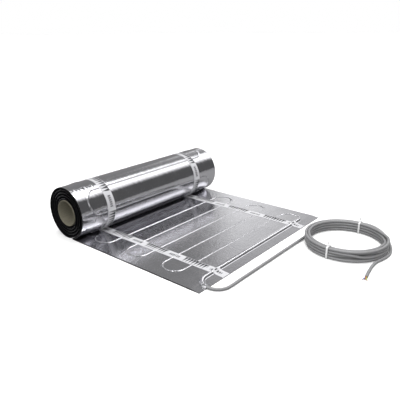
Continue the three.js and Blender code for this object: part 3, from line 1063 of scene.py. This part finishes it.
def cable_tie(name, degrees):
    """A band round the bundle, its locking head and the ribbed end of the strap, as one mesh."""
    angle = math.radians(degrees)
    mesh = bmesh.new()
    half = TIE_WIDTH / 2
    inner_half = half - TIE_EDGE
    outer_face = TIE_THICKNESS - TIE_EDGE
    profile = [
        (0, -inner_half), (TIE_EDGE, -half), (outer_face, -half), (TIE_THICKNESS, -inner_half),
        (TIE_THICKNESS, inner_half), (outer_face, half), (TIE_EDGE, half), (0, inner_half),
    ]
    rings = []
    for point, outwards in band_line(TIE_GAP):
        spots = [tie_point(angle, point + outwards * out, along) for out, along in profile]
        rings.append([mesh.verts.new(spot) for spot in spots])
    join_rings(mesh, rings)
    add_block(mesh, angle, *HEAD, bevel=0.7)
    add_block(mesh, angle, *STRAP_END, bevel=0.3)
    for rib in range(RIB_COUNT):
        low = (RIB_OUT, RIB_START + rib * RIB_STEP, -RIB_SIZE[2] / 2)
        high = (RIB_OUT + RIB_SIZE[0], low[1] + RIB_SIZE[1], RIB_SIZE[2] / 2)
        add_block(mesh, angle, low, high, bevel=0.1)
    return as_piece(mesh, name, tie_finish, sharp_degrees=35)


ties = {side: cable_tie(f"nylon_tie_{side}", degrees) for side, degrees in TIE_ANGLES.items()}
print("tie faces", [len(tie.data.polygons) for tie in ties.values()])

# %% [markdown]
# ## The stripped end
# At the tail the sheath is cut back. Three insulated conductors fan out, and each ends in a bundle of
# fine bare copper strands. They are tubes along short curves, and the strands come from a loop.

# %% Copper
copper_finish, tree = new_material("bare_copper")
place = tree.node("ShaderNodeTexCoord", output="Object")
cloud = tree.noise(place, 900, 2)
copper_values = {
    "Base Color": tree.blend(cloud, (0.72, 0.28, 0.17), (0.85, 0.42, 0.30)),
    "Metallic": 1.0,
    "Roughness": 0.25 + cloud * 0.2,
}
finish_material(tree, copper_values)
print("copper nodes:", len(copper_finish.node_tree.nodes))

# %% Sizes of the stripped end, and one strand
CONDUCTOR_COLOURS = {
    "blue": ((0.05, 0.15, 0.46), (0.08, 0.2, 0.55)),
    "brown": ((0.42, 0.15, 0.02), (0.52, 0.2, 0.04)),
    "earth": ((0.42, 0.52, 0.1), (0.55, 0.62, 0.16)),
}
CONDUCTOR_PLACES = {"blue": (-1, -0.6, -0.35), "brown": (0, 0.9, 0.02), "earth": (1, -0.6, 0.35)}
CONDUCTOR_RADIUS = 1.0
CONDUCTOR_SPREAD = 1.3
CONDUCTOR_START = 0.3
BEND_AFTER = 3.6
BEND_ROUNDING = 0.6
FANNED_MIDDLE = 4.5
FANNED_LENGTH = 8.4
STRAND_RADIUS = 0.19
STRAND_RING = 0.38
STRAND_START = 0.3
STRAND_STEP = 0.94
STRAND_TWIST = 0.35
OUTER_STRANDS = 6
STRAND_POINTS = 6


def strand_route(number, start, heading, sideways):
    """Points of one strand: number 0 runs straight in the middle, the others twist round it."""
    ring = 0 if number == 0 else STRAND_RING
    route = []
    for step in range(STRAND_POINTS):
        turned = math.radians(360 / OUTER_STRANDS * number) + step * STRAND_TWIST
        off_middle = Vector((0, 0, ring * math.sin(turned))) + sideways * ring * math.cos(turned)
        route.append(start + heading * (STRAND_START + step * STRAND_STEP) + off_middle)
    return route


print("strands in each conductor:", OUTER_STRANDS + 1)

# %% Conductors and copper strands
tail_end = Vector((*TAIL_END[-1], LEAD_RADIUS))
tail_before = Vector((*TAIL_END[-2], LEAD_RADIUS))
heading = (tail_end - tail_before).normalized()
sideways = Vector((0, 0, 1)).cross(heading)
conductor_pieces = {}
for colour, (aside, rise, fan) in CONDUCTOR_PLACES.items():
    finish, tree = new_material(f"{colour}_insulation")
    place = tree.node("ShaderNodeTexCoord", output="Object")
    cloud = tree.noise(place, 400, 2)
    insulation_values = {
        "Base Color": tree.blend(cloud, *CONDUCTOR_COLOURS[colour]),
        "Roughness": 0.35 + cloud * 0.1,
    }
    finish_material(tree, insulation_values)
    start = tail_end + heading * CONDUCTOR_START + sideways * aside * CONDUCTOR_SPREAD
    start = start + Vector((0, 0, rise))
    fanned = (heading + sideways * fan).normalized()
    bend = start + heading * BEND_AFTER
    end = bend + fanned * FANNED_LENGTH
    route = [start, start + heading * (BEND_AFTER / 2)]
    route += [bend + fanned * BEND_ROUNDING, bend + fanned * FANNED_MIDDLE, end]
    insulation = tube(f"insulated_{colour}", [route], CONDUCTOR_RADIUS, steps=6, roundness=4)
    insulation.data.materials.append(finish)
    strands = [strand_route(number, end, fanned, sideways) for number in range(OUTER_STRANDS + 1)]
    copper = tube(f"copper_strands_{colour}", strands, STRAND_RADIUS, steps=3, roundness=2)
    copper.data.materials.append(copper_finish)
    conductor_pieces[colour] = (insulation, copper)
print("conductors:", list(conductor_pieces))

# %% [markdown]
# ## Hidden cable
# The heating cable and the lead's end under the foil stay the CAD model's own pieces. They only need
# a finish.

# %% Finish on the CAD's own pieces
cable_finish, tree = new_material("heating_cable_sheath")
place = tree.node("ShaderNodeTexCoord", output="Object")
cloud = tree.noise(place, 300, 2)
cable_values = {
    "Base Color": tree.blend(cloud, (0.40, 0.41, 0.43), (0.5, 0.51, 0.53)),
    "Roughness": 0.4 + cloud * 0.1,
}
finish_material(tree, cable_values)


def give_finish(node_name, finish):
    """Gives one of the CAD's own pieces a finish and leaves its mesh alone."""
    node_mesh = frame["nodes"][node_name].data
    node_mesh.materials.clear()
    node_mesh.materials.append(finish)
    print(node_name, "has the finish", finish.name)


give_finish("heating_cable_unrolled", cable_finish)
give_finish("heating_cable_on_roll", cable_finish)
give_finish("cold_lead_under_foil", lead_finish)

# %% [markdown]
# ## Floor and light
# The mat lies on a pale floor in a white studio. A mirror shows its surroundings, so the bands on the
# roll are really the room: grey walls, a bright strip of ceiling, a light on the left, a dark side in
# front on the right, and a pale wall with a window low on both sides. The world paints these as smooth
# functions of direction, and looks white to the camera. The floor glows a little for the camera, so
# that it looks white too, and is darker in the foil.

# %% Floor
FLOOR_GLOW = 0.2
FLOOR_BOUNCE = 0.25
FLOOR_REACH = 40

floor_finish, tree = new_material("pale_floor")
seen = tree.node("ShaderNodeLightPath", output="Is Camera Ray")
floor_values = {
    "Base Color": tree.blend(seen, (FLOOR_BOUNCE,) * 3, (0.9, 0.9, 0.9)),
    "Roughness": 0.8,
    "Emission Color": (1, 1, 1, 1),
    "Emission Strength": seen * FLOOR_GLOW,
}
finish_material(tree, floor_values)
floor_mesh = bpy.data.meshes.new("floor")
floor_corners = [(-FLOOR_REACH, -FLOOR_REACH, 0), (FLOOR_REACH, -FLOOR_REACH, 0)]
floor_corners += [(FLOOR_REACH, FLOOR_REACH, 0), (-FLOOR_REACH, FLOOR_REACH, 0)]
floor_mesh.from_pydata(floor_corners, [], [(0, 1, 2, 3)])
floor_mesh.materials.append(floor_finish)
floor = bpy.data.objects.new("floor", floor_mesh)
bpy.context.collection.objects.link(floor)
print("floor", 2 * FLOOR_REACH, "m wide")

# %% How bright the room is, and where its parts are, in degrees
WALL = 0.265
DARK_SIDE = 0.11
CEILING_LIGHT = 1.6
LEFT_LIGHT = 0.7
PALE_WALL = 0.32
WINDOW_LIGHT = 0.55
CEILING_FRONT_EDGE = (-42, -18)
CEILING_BACK_EDGE = (6, 15)
PALE_SIDE_FROM = (50, 54.5)
PALE_SIDE_TO = (75, 92)
PALE_SIDE_TOP = (30, 38)
WINDOW_TO = (55, 65)
WINDOW_TOP = (19, 27)

print("the ceiling is", round(CEILING_LIGHT / WALL, 1), "times as bright as the wall")

# %% The room as a function of direction
world = bpy.data.worlds.new("studio")
bpy.context.scene.world = world
world.use_nodes = True
world.node_tree.nodes.clear()
tree = Tree(world.node_tree)
direction = tree.node("ShaderNodeTexCoord", output="Generated")
to_right, to_back, to_top = tree.split(direction)
to_side = to_right.math("ABSOLUTE")


def soft_step(value, low, high):
    """0 below low, 1 above high, with an even slope between."""
    values = {"Value": value, "From Min": low, "From Max": high}
    return tree.node("ShaderNodeMapRange", values, interpolation_type="SMOOTHSTEP")


def after(angle, edge):
    """0 before a soft edge and 1 after it, where the edge is two angles in degrees."""
    return soft_step(angle, math.radians(edge[0]), math.radians(edge[1]))


def before(angle, edge):
    """1 before a soft edge and 0 after it."""
    return 1 - after(angle, edge)


compass = to_side.math("ARCTAN2", to_back)
rise = to_top.math("ARCSINE")
lean = to_back.math("ARCTAN2", to_top)
ceiling = after(lean, CEILING_FRONT_EDGE) * before(lean, CEILING_BACK_EDGE)
ceiling = ceiling * soft_step(to_top, 0.3, 0.5)
front = soft_step(to_back * -1, 0.30, 0.46) * soft_step(to_right, 0.1, 0.4)
left_side = soft_step(to_right * -1, 0.1, 0.5)
window = before(rise, WINDOW_TOP) * before(compass, WINDOW_TO)
pale_side = after(compass, PALE_SIDE_FROM) * before(rise, PALE_SIDE_TOP) * before(compass, PALE_SIDE_TO)
pale_side = pale_side * (window * WINDOW_LIGHT + PALE_WALL)
room = WALL - front * (WALL - DARK_SIDE) + pale_side + left_side * LEFT_LIGHT + ceiling * CEILING_LIGHT
seen = tree.node("ShaderNodeLightPath", output="Is Camera Ray")
backdrop = room * (1 - seen) + seen
light = tree.node("ShaderNodeBackground", {"Color": (1, 1, 1, 1), "Strength": backdrop})
tree.node("ShaderNodeOutputWorld", {"Surface": light})
print("world nodes:", len(world.node_tree.nodes))


# %% Lamps
def soft_lamp(name, place, size, power, mirrored):
    """A square lamp turned to the mat. One that isn't mirrored gives light but no reflection."""
    lamp = bpy.data.lights.new(name, "AREA")
    lamp.size = size
    lamp.energy = power
    holder = bpy.data.objects.new(name, lamp)
    holder.location = place
    holder.visible_glossy = mirrored
    holder.rotation_mode = "QUATERNION"
    holder.rotation_quaternion = (-Vector(place)).to_track_quat("-Z", "Y")
    bpy.context.collection.objects.link(holder)


soft_lamp("ceiling_light", (0.4, 0.2, 2.4), size=1.6, power=34, mirrored=True)
soft_lamp("front_light", (-0.9, -2.2, 1.1), size=1.2, power=9, mirrored=False)
print("lamps:", [item.name for item in bpy.data.lights])
bpy.context.scene.view_settings.view_transform = "Standard"

# %% [markdown]
# ## Pieces on the body
# Each piece rides on the one body, and the CAD pieces it stands for are hidden.

# %% What each piece stands for
def hand_over(piece, slot, *nodes):
    """Puts the piece on the root body and hides the CAD nodes it stands for. The slot argument is not
    used.
    """
    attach(piece, "root")
    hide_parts(*nodes)


hand_over(foil, "foil", "foil_face")
hand_over(inner_foil, "foil", "foil_face")
hand_over(underlay, "backing", "backing_layer")
hand_over(core, "core", "core_tube")
for side, tape in tapes.items():
    hand_over(tape, "tape", f"fixing_tape_{side}")
for side, tie in ties.items():
    hand_over(tie, "tie", f"cable_tie_{side}")
for colour, (insulation, copper) in conductor_pieces.items():
    hand_over(insulation, f"conductor_{colour}", f"conductor_{colour}")
    hand_over(copper, "copper", f"copper_end_{colour}")
hand_over(lead, "lead", "cold_lead", "cold_lead_coil", "cold_lead_tail")
print("tapes", len(tapes), "ties", len(ties), "conductors", len(conductor_pieces))

# %% The ties and conductors listed with the lead
with_lead = [*ties.values()]
for pair in conductor_pieces.values():
    with_lead += pair
tuple(at(*lead_points[0]))
print("the lead carries", len(with_lead), "pieces")
